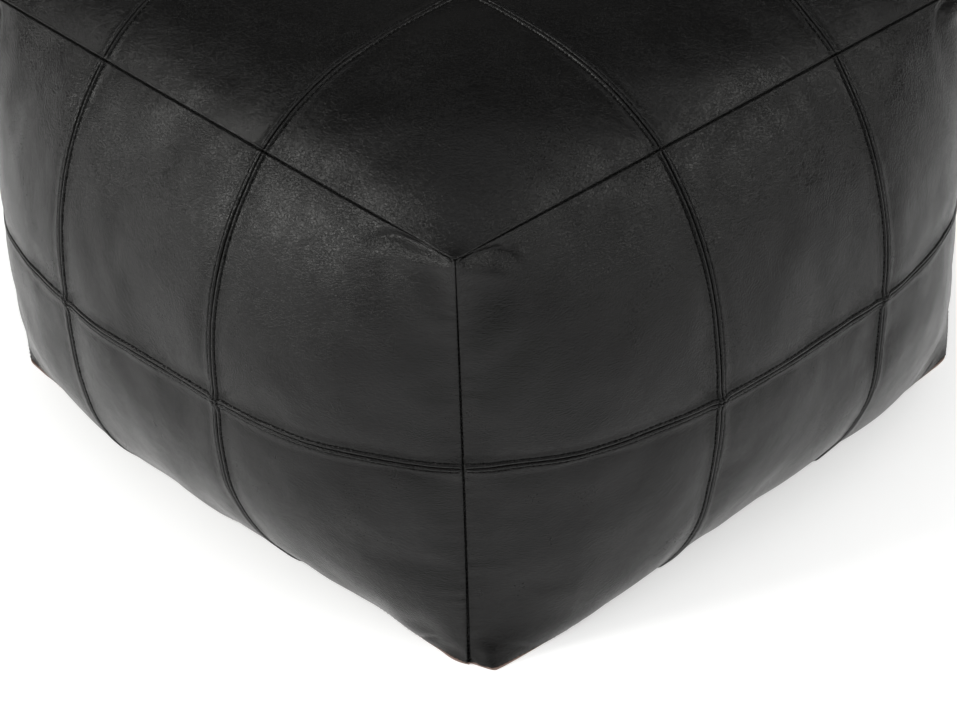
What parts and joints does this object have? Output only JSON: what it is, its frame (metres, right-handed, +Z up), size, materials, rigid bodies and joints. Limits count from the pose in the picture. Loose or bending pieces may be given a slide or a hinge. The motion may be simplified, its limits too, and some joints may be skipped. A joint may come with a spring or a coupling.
{
  "type": "square leather pouf",
  "caption": "Square, firmly stuffed patchwork leather pouf: swollen panelled top and sides with double topstitched seams, a flat base and a zip that opens along the base.",
  "frame": {"origin": "middle of the flat base, at the floor", "axes": "+Z up; +X and +Y square to the sides; the zip runs along X and closes towards +X; the pictured corner is at +X, -Y"},
  "size_m": [0.6046, 0.6046, 0.3644],
  "materials": {
    "black_leather": "satin grained leather",
    "topstitch_thread": "waxed thread",
    "base_leather": "natural undyed split",
    "zip_tape": "woven",
    "zip_coil": "nylon",
    "zip_metal": "antique",
    "liner_cloth": "plain cotton",
    "stuffing_fibre": "fluffy cotton fibre"
  },
  "bodies": {
    "cover": {"top_front_left": "black_leather", "top_front_middle": "black_leather", "top_front_right": "black_leather", "top_middle_left": "black_leather", "top_centre": "black_leather", "top_middle_right": "black_leather", "top_back_left": "black_leather", "top_back_middle": "black_leather", "top_back_right": "black_leather", "front_upper_left": "black_leather", "front_upper_middle": "black_leather", "front_upper_right": "black_leather", "front_lower_left": "black_leather", "front_lower_middle": "black_leather", "front_lower_right": "black_leather", "right_upper_left": "black_leather", "right_upper_middle": "black_leather", "right_upper_right": "black_leather", "right_lower_left": "black_leather", "right_lower_middle": "black_leather", "right_lower_right": "black_leather", "back_upper_left": "black_leather", "back_upper_middle": "black_leather", "back_upper_right": "black_leather", "back_lower_left": "black_leather", "back_lower_middle": "black_leather", "back_lower_right": "black_leather", "left_upper_left": "black_leather", "left_upper_middle": "black_leather", "left_upper_right": "black_leather", "left_lower_left": "black_leather", "left_lower_middle": "black_leather", "left_lower_right": "black_leather", "base_front": "base_leather", "base_back": "base_leather", "topstitch_top": "topstitch_thread", "topstitch_front": "topstitch_thread", "topstitch_right": "topstitch_thread", "topstitch_back": "topstitch_thread", "topstitch_left": "topstitch_thread", "zip_tape_front": "zip_tape", "zip_tape_back": "zip_tape", "zip_coil_front": "zip_coil", "zip_coil_back": "zip_coil", "zip_top_stops": "zip_metal", "zip_bottom_stop": "zip_metal", "liner_upper": "liner_cloth", "liner_lower": "liner_cloth", "stuffing": "stuffing_fibre"},
    "slider": {"zip_slider": "zip_metal"},
    "pull": {"zip_pull": "zip_metal"}
  },
  "joints": [
    {"name": "zip_slide", "type": "slide", "parent": "cover", "child": "slider", "axis": [-1, 0, 0], "range_m": [0, 0.34]},
    {"name": "pull_swing", "type": "hinge", "parent": "slider", "child": "pull", "pos_m": [0.17, 0, 0.0026], "axis": [0, -1, 0], "range_deg": [0, 170]}
  ]
}
